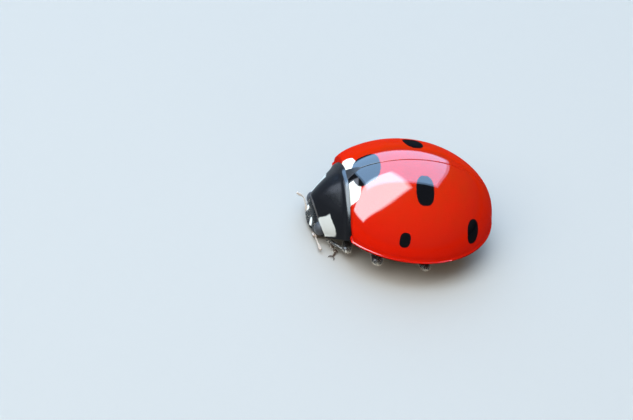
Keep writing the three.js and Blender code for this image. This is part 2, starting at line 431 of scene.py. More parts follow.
def eggPoints(form, columns, rows, side="left"):
    square = 2 / form.get("squareness", 2)
    around = np.linspace(0, 2 * math.pi, columns, endpoint=False)[:, None]
    down = np.linspace(0, math.pi, rows)[None, :]
    ring = np.clip(np.sin(down), 0, 1) ** square
    half = form["halfSize"]
    x = half[0] * ring * signedPower(np.sin(around), square)
    y = -half[1] * signedPower(np.cos(down), square) + 0 * around
    z = half[2] * ring * signedPower(np.cos(around), square)
    return np.stack([x, y, z], -1) + np.array(form["centre"]) * mirrorOf(side)


def makeHead(material):
    grid = eggPoints(skull, 120, 90)
    x, y, z = (grid[..., k].copy() for k in range(3))
    front = np.clip((-y - 3.15) / 0.2, 0, 1)
    # The brow is flat and dips between the eyes, the face swells forward above the mouth shield,
    # and there is a hollow beside each feeler.
    grid[..., 1] += front * 0.03 * bump(x, 0, 0.3) * bump(z, -0.5, 0.2)
    grid[..., 1] -= front * 0.1 * bump(z, -0.95, 0.14) * bump(x, 0, 0.8)
    for way in (1, -1):
        grid[..., 1] += front * 0.06 * bump(x, 0.5 * way, 0.09) * bump(z, -0.86, 0.08)
    joinedPiece("head", [grid], material, "cuticle_black", "head")
    lipGrid = eggPoints(lip, 56, 36)
    lipGrid[..., 1] += 0.06 * bump(lipGrid[..., 0], 0, 0.12) * np.clip(-lipGrid[..., 1] - 3.5, 0, 1) * 4
    joinedPiece("mouthShield", [lipGrid], material, "cuticle_black", "labrum")
    return grid


def makeEye(side, material):
    # Facets are small domes laid over an egg in a sunflower pattern.
    mirror = mirrorOf(side)
    core = eggPoints(eye, 40, 28, side)
    wrapped = np.concatenate([core, core[:1]])
    points = [wrapped.reshape(-1, 3)]
    faces = quads(*wrapped.shape[:2])
    total = len(points[0])
    golden = math.pi * (3 - math.sqrt(5))
    radius = eye["facetSize"] / math.sqrt(eye["facets"])
    sides = eye["sides"]
    for i in range(eye["facets"]):
        height = 1 - 2 * (i + 0.5) / eye["facets"]
        ring = math.sqrt(1 - height * height)
        normal = np.array([math.cos(golden * i) * ring, math.sin(golden * i) * ring, height])
        if normal[0] * mirror[0] < eye["hidden"]:
            continue
        sideways = unit(np.cross(normal, [0.3, 0.2, 1.0]))
        upwards = np.cross(normal, sideways)
        cap = [normal * (1 + radius * eye["bulge"])]
        for depth, share in eye["rings"]:
            for k in range(sides):
                angle = 2 * k * math.pi / sides
                spread = (math.cos(angle) * sideways + math.sin(angle) * upwards) * radius * share
                cap.append(unit(normal + spread) * (1 + radius * eye["bulge"] * depth))
        points.append(np.array(cap) * eye["halfSize"] + eye["centre"] * mirror)
        for k in range(sides):
            a, b = total + 1 + k, total + 1 + (k + 1) % sides
            faces.append([total, a, b])
            faces.append([a, a + sides, b + sides, b])
        total += len(cap)
    piece = meshFrom("eye_" + side, np.concatenate(points), faces)
    finishPiece(piece, material, "eye", "eye_" + side)


def smoothPath(points, place):
    # A curve through the points, read at the given shares of its length.
    points = np.asarray(points, float)
    place = np.asarray(place, float) * (len(points) - 1)
    if len(points) == 2:
        return points[0] + (points[1] - points[0]) * place[:, None]
    knots = np.concatenate([[2 * points[0] - points[1]], points, [2 * points[-1] - points[-2]]])
    index = np.clip(place.astype(int), 0, len(points) - 2)
    t = (place - index)[:, None]
    a, b, c, d = (knots[index + k] for k in range(4))
    bend = (2 * a - 5 * b + 4 * c - d) * t**2 + (3 * b - a - 3 * c + d) * t**3
    return 0.5 * (2 * b + (c - a) * t + bend)


def limb(points, widths, depths=None, rings=26, columns=20, ends=(0.12, 0.12)):
    # A tube along a path, oval in section. Half widths sideways and half depths upwards are given at
    # even steps, and the ends are round.
    share = (1 - np.cos(np.linspace(0, math.pi, rings))) / 2
    path = smoothPath(points, share)
    start = np.clip(1 - share / ends[0], 0, 1)
    stop = np.clip(1 - (1 - share) / ends[1], 0, 1)
    close = np.sqrt(1 - start**2) * np.sqrt(1 - stop**2)
    depths = widths if depths is None else depths
    wide = np.interp(share, np.linspace(0, 1, len(widths)), widths) * close
    deep = np.interp(share, np.linspace(0, 1, len(depths)), depths) * close
    tangent = unit(np.gradient(path, share, axis=0))
    side = unit(np.cross(tangent, (0, 0.2, 1)))
    rise = np.cross(side, tangent)
    angle = np.linspace(0, 2 * math.pi, columns, endpoint=False)[:, None, None]
    return path + np.cos(angle) * side * wide[:, None] + np.sin(angle) * rise * deep[:, None]


feelers = {
    "left": [(0.6, -3.36, -0.95), (0.9, -3.42, -0.95), (1.22, -3.4, -0.92), (1.54, -3.34, -0.95)],
    "right": [(-0.36, -3.58, -0.84), (-0.45, -3.65, -0.64), (-0.64, -3.76, -0.42), (-0.74, -4.03, -0.32)],
    # Share of the length and half width of each of the eleven links.
    "lengths": (2.4, 1.2, 1.5, 1.0, 1.0, 0.9, 0.9, 0.9, 1.2, 1.3, 1.4),
    "halfWidths": (0.045, 0.036, 0.028, 0.026, 0.025, 0.026, 0.028, 0.034, 0.05, 0.06, 0.052),
}


def makeFeeler(side, material):
    path = smoothPath(feelers[side], np.linspace(0, 1, 200))
    along = np.concatenate([[0], np.cumsum(np.linalg.norm(np.diff(path, axis=0), axis=1))])
    ends = np.cumsum((0,) + feelers["lengths"]) / sum(feelers["lengths"]) * along[-1]
    links = []
    for k, half in enumerate(feelers["halfWidths"]):
        start = [np.interp(ends[k], along, path[:, a]) for a in range(3)]
        stop = [np.interp(ends[k + 1] + 0.01, along, path[:, a]) for a in range(3)]
        widths = (0.7 * half, 0.95 * half, 1.1 * half) if k > 1 else (half, half)
        links.append(limb([start, stop], widths, rings=12, columns=14, ends=(0.2, 0.25)))
    joinedPiece("feeler_" + side, links, material, "feeler_brown", "antenna_" + side)


palp = {
    "joints": [(0.3, -3.3, -0.98), (0.46, -3.42, -1.0), (0.62, -3.46, -0.99), (0.8, -3.42, -0.98)],
    # Half widths and half depths: the last link is a broad flat hatchet.
    "slim": (0.04, 0.06),
    "broad": ((0.04, 0.09, 0.12), (0.04, 0.05, 0.05)),
}


def makePalp(side, material):
    mirror = mirrorOf(side)
    joints = np.array(palp["joints"]) * mirror
    links = [limb(joints[k:k + 2], palp["slim"], rings=12, columns=14) for k in (0, 1)]
    links.append(limb(joints[2:4], *palp["broad"], rings=14, columns=16, ends=(0.1, 0.08)))
    joinedPiece("palp_" + side, links, material, "feeler_brown", "palp_" + side)


hair = {
    "stray": 0.25,
    "rings": (0, 0.35, 0.7),
    "corners": 3,
    "taper": 0.6,
    "rootDepth": 0.008,
    # What a bed has where it gives nothing of its own.
    "coat": {"length": (0.04, 0.07), "width": 0.006, "rise": 0.6, "reach": ((0, 0), (1, 1))},
}


def hairBed(skin, normals, count, lean, **coat):
    return {**hair["coat"], "skin": skin, "normals": normals, "count": count, "lean": lean, **coat}


def growHairs(name, beds, material, slotName, seed):
    # Each bed is a skin grid with its own tile of the hair map. A hair is a thin bent spike of three
    # sides, and its patch of the map lies where its root is on the skin laid flat.
    dice = np.random.default_rng(seed)
    shares = np.array(hair["rings"])
    angles = [k * 2 * math.pi / hair["corners"] for k in range(hair["corners"])]
    across = math.ceil(math.sqrt(len(beds)))
    points, marks = [], []
    for tile, bed in enumerate(beds):
        grid = bed["skin"]
        normals = bed["normals"]
        rows, columns = grid.shape[:2]
        spots = dice.uniform(*bed["reach"], (bed["count"], 2)) * (rows - 1.001, columns - 1.001)
        base = spots.astype(int)
        part = (spots - base)[:, :, None]
        i, j = base.T
        roots = grid[i, j] * (1 - part[:, 0]) + grid[i + 1, j] * part[:, 0]
        roots = roots + (grid[i, j + 1] - grid[i, j]) * part[:, 1]
        out = normals[i, j]
        keep = bed["where"](roots) if "where" in bed else np.ones(len(roots), bool)
        roots, out, spots = roots[keep], out[keep], spots[keep]
        count = len(roots)
        lean = np.array(bed["lean"], float) + dice.normal(0, hair["stray"], (count, 3))
        lean -= out * np.sum(lean * out, -1, keepdims=True)
        length = dice.uniform(*bed["length"], (count, 1))
        side = unit(np.cross(out, lean))
        start = roots - out * hair["rootDepth"]
        rings = []
        for share in shares:
            middle = start + (out * bed["rise"] * share + lean * share ** 1.4) * length
            turn = unit(np.cross(side, out * bed["rise"] + lean * 1.4 * share**0.4))
            for angle in angles:
                spread = side * math.cos(angle) + turn * math.sin(angle)
                rings.append(middle + spread * bed["width"] * (1 - hair["taper"] * share))
        rings.append(start + (out * bed["rise"] + lean) * length)
        points.append(np.stack(rings, 1).reshape(-1, 3))
        corner = np.array([tile % across, tile // across]) / across
        flat = (corner + spots / (rows - 1, columns - 1) / across * 0.96)[:, None, :]
        turnStep = np.array([[math.cos(angle), math.sin(angle)] for angle in angles])
        offsets = np.concatenate([turnStep * 0.0015 * (1 - 0.4 * share) for share in shares] + [[[0, 0]]])
        marks.append((flat + offsets[None]).reshape(-1, 2))
    points, marks = np.concatenate(points), np.concatenate(marks)
    corners, last = hair["corners"], len(shares) - 1
    tip = corners * len(shares)
    own = [list(range(corners))[::-1]]
    for ring in range(last):
        for k in range(corners):
            a, b = corners * ring + k, corners * ring + (k + 1) % corners
            own.append([a, b, b + corners, a + corners])
    for k in range(corners):
        own.append([corners * last + k, corners * last + (k + 1) % corners, tip])
    starts = range(0, len(points), tip + 1)
    faces = [[start + corner for corner in face] for start in starts for face in own]
    piece = meshFrom(name, points, faces)
    layer = piece.data.uv_layers.new(name="OFBake")
    used = np.empty(len(piece.data.loops), np.int32)
    piece.data.loops.foreach_get("vertex_index", used)
    layer.data.foreach_set("uv", marks[used].astype(np.float32).ravel())
    return finishPiece(piece, material, slotName)


def wrappedSkin(grid):
    # A tube's grid closed on itself, with outward normals.
    skin = np.concatenate([grid, grid[:1]])
    middle = grid.mean(axis=0, keepdims=True)
    normals = gridNormals(skin)
    if np.sum(normals * (skin - middle)) < 0:
        normals = -normals
    return skin, normals


legs = {
    ("front", "left"): {
        "hip": (0.36, -2.1, -0.62),
        "knee": (1.84, -2.5, -0.66),
        "ankle": (1.14, -2.98, -0.84),
        "instep": (1.5, -2.74, -0.97),
        "toe": (1.75, -2.92, -1.0),
    },
    ("front", "right"): {
        "hip": (0.36, -2.1, -0.62),
        "knee": (1.6, -2.3, -0.56),
        "ankle": (1.16, -2.66, -0.92),
        "toe": (1.24, -2.16, -1.0),
    },
    ("middle", "both"): {
        "hip": (0.56, -1.16, -0.5),
        "knee": (2.57, -1.5, -0.47),
        "ankle": (1.5, -1.1, -0.9),
        "toe": (1.42, -0.5, -1.0),
    },
    ("hind", "both"): {
        "hip": (0.5, 0.36, -0.46),
        "knee": (2.75, 0.32, -0.44),
        "ankle": (1.56, 0.8, -0.9),
        "toe": (1.36, 1.4, -1.0),
    },
}
legSize = {
    "coxa": (0.26, 0.2),
    "thigh": ((0.13, 0.2, 0.235, 0.23, 0.2), (0.11, 0.15, 0.165, 0.16, 0.14)),
    "shin": ((0.075, 0.08, 0.09, 0.1, 0.105), (0.06, 0.065, 0.07, 0.075, 0.08)),
    "slim": 0.78,  # the front pair against the others
    "coxaShare": 0.3,  # of the way from hip to knee
    "ball": (0.075, 0.075),
    "spur": {"aside": 0.05, "length": 0.11, "widths": (0.016, 0.004)},
    "pad": 0.075,
    "claw": 0.024,
}
legHairs = []


def makeFoot(end, route, down, material):
    # Two padded links, a slender last one, and a pair of toothed claws.
    flat = floorLevel + 0.055
    spots = [route[0] + down * 0.01, *smoothPath(route, (0.3, 0.56, 0.62, 1.0))]
    for spot, height in zip(spots[1:], (0.03, 0.02, 0.05, 0.0)):
        spot[2] = flat + height
    pad = legSize["pad"]
    links = [
        limb(spots[0:2], (0.5 * pad, 0.8 * pad, pad), (0.5 * pad, 0.6 * pad), rings=16, columns=16),
        limb(spots[1:3], (0.5 * pad, 1.1 * pad, 1.35 * pad), (0.4 * pad, 0.6 * pad), rings=16, columns=18),
        limb([spots[2], spots[4]], (0.3 * pad, 0.42 * pad, 0.6 * pad), rings=18, columns=14),
    ]
    run = unit(spots[4] - spots[2])
    aside = unit(np.cross(run, [0, 0, 1.0]))
    claw = legSize["claw"]
    for way in (1, -1):
        root = spots[4] - run * 0.02 + aside * way * 0.022
        tip = root + run * 0.14 + aside * way * 0.09 + np.array([0, 0, floorLevel + 0.008 - root[2]])
        middle = (root + tip) / 2 + aside * way * 0.035 + np.array([0, 0, 0.03])
        links.append(limb([root, middle, tip], (claw, 0.8 * claw, 0.12 * claw), rings=18, columns=10))
        tooth = middle + np.array([0, 0, -0.035]) - aside * way * 0.01
        links.append(limb([middle, tooth], (0.6 * claw, 0.1 * claw), rings=8, columns=8))
    joinedPiece("foot_" + end, links, material, "foot_brown", "tarsus_" + end)
    return links, run


def makeLeg(pair, side, shine, foot):
    joints = legs.get((pair, side)) or legs[(pair, "both")]
    mirror = mirrorOf(side)
    hip, knee, ankle = (np.array(joints[key]) * mirror for key in ("hip", "knee", "ankle"))
    end = f"{pair}_{side}"
    coxaEnd = hip + (knee - hip) * legSize["coxaShare"]
    slim = legSize["slim"] if pair == "front" else 1
    wide, deep = legSize["coxa"]
    blunt = (0.4, 0.4)
    coxa = limb([hip, coxaEnd], (wide, wide, 0.8 * wide), (deep, deep), ends=blunt)
    joinedPiece("coxa_" + end, [coxa], shine, "cuticle_black", "coxa_" + end)
    step = unit(knee - hip)
    ring = [coxaEnd - step * 0.08, coxaEnd + step * 0.16]
    trochanter = limb(ring, (0.14, 0.15), (0.13, 0.13), ends=blunt)
    girth = np.array(legSize["thigh"]) * slim
    thigh = limb([coxaEnd + step * 0.04, knee], *girth, rings=40, columns=36, ends=(0.1, 0.13))
    joinedPiece("thigh_" + end, [trochanter, thigh], shine, "cuticle_black", "femur_" + end)
    # The shin hangs from a small ball in the knee and bows outwards a little.
    start = knee - step * 0.14 + np.array([0, 0, -0.09])
    middle = (start + ankle) / 2 + np.array([0, 0, 0.03]) + step * 0.03
    ball = limb([start - step * 0.02, start + step * 0.1], legSize["ball"], ends=(0.45, 0.45), rings=14)
    girth = np.array(legSize["shin"]) * slim
    shin = limb([start, middle, ankle], *girth, rings=36, columns=22, ends=(0.06, 0.06))
    down = unit(ankle - start)
    parts = [ball, shin]
    spur = legSize["spur"]
    for way in (1, -1):
        aside = unit(np.cross(down, [0, 0, 1.0])) * spur["aside"] * way
        root = ankle + aside
        tip = root + down * spur["length"] + aside * 0.3
        parts.append(limb([root, tip], spur["widths"], rings=10, columns=8))
    joinedPiece("shin_" + end, parts, shine, "cuticle_black", "tibia_" + end)
    route = [np.array(joints[key]) * mirror for key in ("ankle", "instep", "toe") if key in joints]
    links, run = makeFoot(end, route, down, foot)
    # The thigh has a sparse coat and a fringe at the knee, the shin and the foot pads an even one.
    onward = (step + np.array([0, 0, -0.3])) * 0.5
    fine = {"length": (0.05, 0.08), "width": 0.004}
    for count, reach in ((120, ((0, 0.35), (1, 0.85))), (110, ((0, 0.82), (1, 0.99)))):
        legHairs.append(hairBed(*wrappedSkin(thigh), count, onward, rise=0.8, reach=reach, **fine))
    legHairs.append(hairBed(*wrappedSkin(shin), 100, down, reach=((0, 0.15), (1, 0.97)), **fine))
    for link, count in zip(links, (70, 50)):
        legHairs.append(hairBed(*wrappedSkin(link), count, run))


belly = {
    "depth": 0.42,
    "roundness": 1.4,
    "halfWidth": 2.52,
    "inset": 0.3,
    "rim": 0.06,
    "thickness": 0.09,
    "columns": 110,
    "rows": 30,
    "rings": (0.05, 0.66, 1.12, 1.54, 1.94, 2.32, 2.74),
    "dimple": {"at": 0.72, "depth": 0.03, "width": 0.09},
}
bellyHairs = []


def bellySurface(around, y):
    # around runs from -1 to 1, from one side under to the other.
    behind = y > dome["widestAt"]
    reach = np.where(behind, dome["rear"] - dome["widestAt"], dome["widestAt"] - dome["front"])
    reach = reach - belly["inset"]
    arch = np.sqrt(np.clip(1 - ((y - dome["widestAt"]) / reach) ** 2, 0, 1))
    angle = around * math.pi / 2
    x = belly["halfWidth"] * arch**0.86 * np.sin(angle)
    drop = arch**0.6 * np.abs(np.cos(angle)) ** belly["roundness"]
    z = belly["rim"] - (belly["depth"] + belly["rim"]) * drop
    return np.stack(np.broadcast_arrays(x, y, z), -1)


def makePlate(name, start, end, material, nodes, hairs, curves=(0.1, 0.1)):
    around = np.linspace(-1, 1, belly["columns"])[:, None]
    share = np.linspace(0, 1, belly["rows"])[None, :]
    sag = (curves[0] + (curves[1] - curves[0]) * share) * (1 - around**2)
    y = start + sag + (end - start) * share
    base = bellySurface(around, y)
    normals = -gridNormals(base)
    fromStart = arcFrom(base, 1)
    fromEnd = fromStart[:, -1:] - fromStart
    lift = edgeRound(fromEnd, 0.05) + edgeRound(fromStart, 0.03)
    # A seam line runs down the middle of the chest plates and small dimples sit near the sides.
    if name.endswith("Chest"):
        lift -= 0.02 * bump(base[..., 0], 0, 0.025)
    else:
        dimple = belly["dimple"]
        for way in (1, -1):
            middle = bellySurface(np.array(dimple["at"] * way), np.array((start + end) / 2))
            lift -= dimple["depth"] * bump(np.linalg.norm(base - middle, axis=-1), 0, dimple["width"])
    outer = base + normals * lift[..., None]
    piece = shell(name, outer[:, ::-1], belly["thickness"], normals[:, ::-1])
    coat = {"rise": 0.35, "length": (0.06, 0.12), "reach": ((0.04, 0.05), (0.96, 0.9))}
    bellyHairs.append(hairBed(outer, normals, hairs, (0, 1, 0), **coat))
    return finishPiece(piece, material, "underside_black", *nodes)


def makeUnderside(material):
    makePlate("midChest", -2.5, -1.6, material, ("mesothorax",), 900, (0, 0))
    makePlate("hindChest", -1.59, 0.04, material, ("metathorax",), 1500, (0, 0.1))
    for k, (start, end) in enumerate(zip(belly["rings"], belly["rings"][1:])):
        nodes = ("abdomen",) if k == 0 else ()
        makePlate(f"bellyRing_{k + 1}", start, end - 0.01, material, nodes, 520 - 50 * k)


def fillSockets(node, values):
    # A socket takes a constant, or a link where the value is another node's socket.
    for key, value in values.items():
        socket = node.inputs[key]
        if isinstance(value, bpy.types.NodeSocket):
            node.id_data.links.new(value, socket)
        else:
            socket.default_value = value


def nodeKit(tree):
    def add(kind, values=None, **settings):
        node = tree.nodes.new("ShaderNode" + kind)
        for key, value in settings.items():
            setattr(node, key, value)
        fillSockets(node, values or {})
        return node

    return add


def maths(add, operation, *values):
    return add("Math", dict(enumerate(values)), operation=operation).outputs[0]


def ramp(add, value, low, high, start=0.0, end=1.0, shape="LINEAR"):
    values = {0: value, 1: low, 2: high, 3: start, 4: end}
    return add("MapRange", values, interpolation_type=shape).outputs[0]


def mixed(add, share, first, second):
    return add("Mix", {"Factor": share, "A": first, "B": second}, data_type="RGBA").outputs["Result"]


def withX(add, parts, x):
    # The same place with another distance from the mid line.
    return add("CombineXYZ", {"X": x, "Y": parts["Y"], "Z": parts["Z"]}).outputs[0]


def newGroup(name, inputs, outputs):
    tree = bpy.data.node_groups.new(name, "ShaderNodeTree")
    for way, sockets in (("INPUT", inputs), ("OUTPUT", outputs)):
        for label, kind in sockets:
            tree.interface.new_socket(name=label, in_out=way, socket_type="NodeSocket" + kind)
    return tree, nodeKit(tree), tree.nodes.new("NodeGroupInput"), tree.nodes.new("NodeGroupOutput")


def makeBodyPlaceGroup():
    # The animal's own millimetres, from the mesh's place.
    tree, add, _, end = newGroup("bodyPlace", [], [("Place", "Vector")])
    coords = add("TexCoord").outputs["Object"]
    shift = add("VectorMath", {0: coords, 1: tuple(-bodyOrigin)}, operation="ADD")
    scaled = add("VectorMath", {0: shift.outputs[0], "Scale": 1 / mm}, operation="SCALE")
    fillSockets(end, {"Place": scaled.outputs[0]})
    return tree


def makeCuticleGroup():
    # Fine pits and a soft unevenness of a beetle's shell: a height in millimetres and a mottle.
    inputs = [("Place", "Vector"), ("Pit Scale", "Float"), ("Pit Depth", "Float"), ("Wave Depth", "Float")]
    tree, add, start, end = newGroup("cuticle", inputs, [("Height", "Float"), ("Mottle", "Float")])
    given = start.outputs
    place = given["Place"]
    cells = add("TexVoronoi", {"Vector": place, "Scale": given["Pit Scale"], "Randomness": 0.85})
    pit = ramp(add, cells.outputs["Distance"], 0.1, 0.42, 1.0, 0.0, "SMOOTHSTEP")
    deep = maths(add, "MULTIPLY", pit, given["Pit Depth"])
    wave = add("TexNoise", {"Vector": place, "Scale": 2.6, "Detail": 3.0, "Roughness": 0.5})
    high = maths(add, "MULTIPLY", wave.outputs["Fac"], given["Wave Depth"])
    mottle = add("TexNoise", {"Vector": place, "Scale": 1.7, "Detail": 4.0, "Roughness": 0.6})
    fillSockets(end, {"Height": maths(add, "SUBTRACT", high, deep), "Mottle": mottle.outputs["Fac"]})
    return tree


def makeSpotGroup():
    # An oval spot about a centre, with a slightly wavering edge. Turn is the oval's own turn.
    inputs = [("Place", "Vector"), ("Centre", "Vector"), ("Turn", "Vector"), ("Size", "Vector")]
    inputs += [("Waver", "Float"), ("Squareness", "Float")]
    tree, add, start, end = newGroup("ovalSpot", inputs, [("Mask", "Float")])
    given = start.outputs
    square = given["Squareness"]
    within = {"Vector": given["Place"], "Location": given["Centre"]}
    within.update({"Rotation": given["Turn"], "Scale": given["Size"]})
    mapped = add("Mapping", within, vector_type="TEXTURE")
    parts = add("SeparateXYZ", {0: mapped.outputs[0]}).outputs
    powers = [maths(add, "POWER", maths(add, "ABSOLUTE", parts[axis]), square) for axis in "XYZ"]
    total = maths(add, "ADD", maths(add, "ADD", powers[0], powers[1]), powers[2])
    far = maths(add, "POWER", total, maths(add, "DIVIDE", 1.0, square))
    wave = add("TexNoise", {"Vector": given["Place"], "Scale": 3.2, "Detail": 1.0})
    swing = maths(add, "MULTIPLY", maths(add, "SUBTRACT", wave.outputs["Fac"], 0.5), given["Waver"])
    mask = ramp(add, maths(add, "ADD", far, swing), 0.96, 1.05, 1.0, 0.0, "SMOOTHSTEP")
    fillSockets(end, {"Mask": mask})
    return tree


groups = {"place": makeBodyPlaceGroup(), "cuticle": makeCuticleGroup(), "spot": makeSpotGroup()}


def startMaterial(name):
    material = bpy.data.materials.new(name)
    material.use_nodes = True
    material.node_tree.nodes.clear()
    add = nodeKit(material.node_tree)
    shader = add("BsdfPrincipled")
    add("OutputMaterial", {"Surface": shader.outputs[0]})
    place = add("Group", node_tree=groups["place"]).outputs["Place"]
    return material, add, shader, place


def addRelief(add, shader, place, pitScale, pitDepth, waveDepth):
    values = {"Place": place, "Pit Scale": pitScale, "Pit Depth": pitDepth, "Wave Depth": waveDepth}
    skin = add("Group", values, node_tree=groups["cuticle"]).outputs
    relief = add("Bump", {"Height": skin["Height"], "Distance": mm, "Strength": 1.0})
    fillSockets(shader, {"Normal": relief.outputs[0]})
    return skin["Mottle"]


def spotMask(add, place, centre, size, turn=(0, 0, 0), waver=0.12, square=2.3):
    values = {"Place": place, "Centre": centre, "Turn": turn, "Size": size}
    values.update({"Waver": waver, "Squareness": square})
    return add("Group", values, node_tree=groups["spot"]).outputs["Mask"]


def largest(add, masks):
    total = masks[0]
    for mask in masks[1:]:
        total = maths(add, "MAXIMUM", total, mask)
    return total


caseLook = {
    "deep": (0.46, 0.006, 0.0005, 1),
    # The orange is painted light: the red's tone where the light falls strongest, on top.
    "paintedLitOrange": (0.29, 0.018, 0.0007, 1),
    "black": (0.002, 0.002, 0.0025, 1),
    "ivory": (0.72, 0.64, 0.5, 1),
    # Each spot lies at an angle round the dome from its top and a distance along it, and has half
    # sizes along the body and round it.
    "spots": ((0.51, -0.11, 0.34, 0.58), (1.16, -0.79, 0.2, 0.28), (1.05, 1.94, 0.3, 0.46)),
    "spotSquareness": (2.5, 2.6, 2.3),
    "spotDepth": 0.8,
    "drift": 0.21,
    "middleSpot": ((0, -2.1, 1.9), (0.67, 0.48, 1.2)),
    "middleNeck": ((0.05, -2.66, 1.5), (0.17, 0.24, 0.9)),
    "paleSpot": ((0.53, -2.64, 1.36), (0.5, 0.31, 0.6)),
}


def domeFrame(around, y):
    # The place, and the turn that lays a spot's X along the body, its Y round it and its Z outwards.
    end = dome["rear"] if y > dome["widestAt"] else dome["front"]
    forward = (dome["widestAt"] - y) / abs(end - dome["widestAt"])
    along = math.acos(max(-1, min(1, forward))) / math.pi
    here = domeSurface(np.array(around), np.array(along))
    back = domeSurface(np.array(around), np.array(along + 0.004)) - here
    beside = domeSurface(np.array(around + 0.01), np.array(along)) - here
    xAxis = Vector(back).normalized()
    zAxis = xAxis.cross(Vector(beside)).normalized()
    yAxis = zAxis.cross(xAxis)
    turn = Matrix((xAxis, yAxis, zAxis)).transposed().to_euler()
    return tuple(here), tuple(turn)


def skyGloss(add):
    # Full gloss where the surface mirrors what is overhead, almost none where it mirrors the floor.
    facing = add("LayerWeight", {"Blend": 0.5}).outputs["Facing"]
    normal = add("NewGeometry").outputs["Normal"]
    upward = add("SeparateXYZ", {0: normal}).outputs["Z"]
    lift = maths(add, "MULTIPLY", upward, maths(add, "SUBTRACT", 1.0, facing))
    return ramp(add, lift, 0.33, 0.41, 0.03, 1.0)


def makeCaseMaterial():
    material, add, shader, place = startMaterial("wingCaseRed")
    mottle = addRelief(add, shader, place, 11.0, 0.004, 0.006)
    parts = add("SeparateXYZ", {0: place}).outputs
    # Towards the front the pattern sits a little to the left.
    drift = ramp(add, parts["Y"], -2.6, -1.7, caseLook["drift"], 0.0)
    centred = maths(add, "SUBTRACT", parts["X"], drift)
    moved = withX(add, parts, centred)
    folded = withX(add, parts, maths(add, "ABSOLUTE", centred))
    masks = []
    for (around, y, lengthwise, crosswise), square in zip(caseLook["spots"], caseLook["spotSquareness"]):
        centre, turn = domeFrame(around, y)
        size = (lengthwise, crosswise, caseLook["spotDepth"])
        masks.append(spotMask(add, folded, centre, size, turn, square=square))
    for key in ("middleSpot", "middleNeck"):
        masks.append(spotMask(add, moved, *caseLook[key], waver=0.16, square=2.5))
    pale = spotMask(add, folded, *caseLook["paleSpot"], waver=0.2)
    # Painted light: by height alone, the colour turns from the deep red of the flanks to orange on top. It
    # stands in for the stronger light that falls on the top of the dome.
    high = ramp(add, parts["Z"], 0.3, 2.5)
    red = mixed(add, maths(add, "MULTIPLY", high, mottle), caseLook["deep"], caseLook["paintedLitOrange"])
    withPale = mixed(add, pale, red, caseLook["ivory"])
    colour = mixed(add, largest(add, masks), withPale, caseLook["black"])
    fillSockets(shader, {"Base Color": colour, "Roughness": 0.32, "IOR": 1.55, "Specular IOR Level": 0.0})
    fillSockets(shader, {"Coat Weight": skyGloss(add), "Coat Roughness": 0.05, "Coat IOR": 1.9})
    return material


# Colour, roughness, scale and depth of the pits with the depth of the waves, coat and coat roughness.
plainLooks = {
    "plateBlack": ((0.008, 0.006, 0.005, 1), 0.4, (16.0, 0.004, 0.004), 0.12, 0.15),
    "cuticleBlack": ((0.008, 0.006, 0.005, 1), 0.35, (16.0, 0.004, 0.004), 0.7, 0.12),
    "bellyBlack": ((0.01, 0.008, 0.007, 1), 0.5, (12.0, 0.008, 0.006), 0.3, 0.3),
    "eyeGrey": ((0.02, 0.02, 0.022, 1), 0.3, (30.0, 0.0, 0.0), 0.4, 0.1),
    "feelerBrown": ((0.31, 0.24, 0.18, 1), 0.45, (30.0, 0.002, 0.002), 0.3, 0.15),
    "footBrown": ((0.05, 0.03, 0.018, 1), 0.45, (30.0, 0.002, 0.002), 0.3, 0.15),
    "hairPale": ((0.5, 0.44, 0.34, 1), 0.4, (30.0, 0.0, 0.0), 0.2, 0.2),
}


def makePlainMaterial(name, colour, roughness, pits, coat, coatRoughness):
    material, add, shader, place = startMaterial(name)
    mottle = addRelief(add, shader, place, *pits)
    lighter = tuple(min(1, c * 1.7 + 0.004) for c in colour[:3]) + (1,)
    fillSockets(shader, {"Base Color": mixed(add, mottle, colour, lighter), "Roughness": roughness})
    fillSockets(shader, {"Coat Weight": coat, "Coat Roughness": coatRoughness})
    return material


shieldLook = {
    "black": (0.003, 0.003, 0.004, 1),
    "ivory": (0.43, 0.405, 0.345, 1),
    "border": (0.05, 0.042, 0.036, 1),
    # The pale corner lies ahead of one line and below another, seen from the side.
    "hindLine": ((0, -0.86, -0.51), (-3.05, 0.02)),
    "topLine": ((0, 0.82, -0.573), (-3.34, 0.08)),
    "lowLine": ((0, -0.639, 0.769), (-3.17, -0.6)),
    "foreLine": ((0, -0.821, -0.571), (-3.17, -0.7)),
    "rightGrow": 0.22,
}


def sideLine(add, place, normal, point):
    # Distance past a line in the side view, positive on the patch's side.
    dot = add("VectorMath", {0: place, 1: normal}, operation="DOT_PRODUCT")
    level = normal[1] * point[0] + normal[2] * point[1]
    return maths(add, "SUBTRACT", dot.outputs["Value"], level)


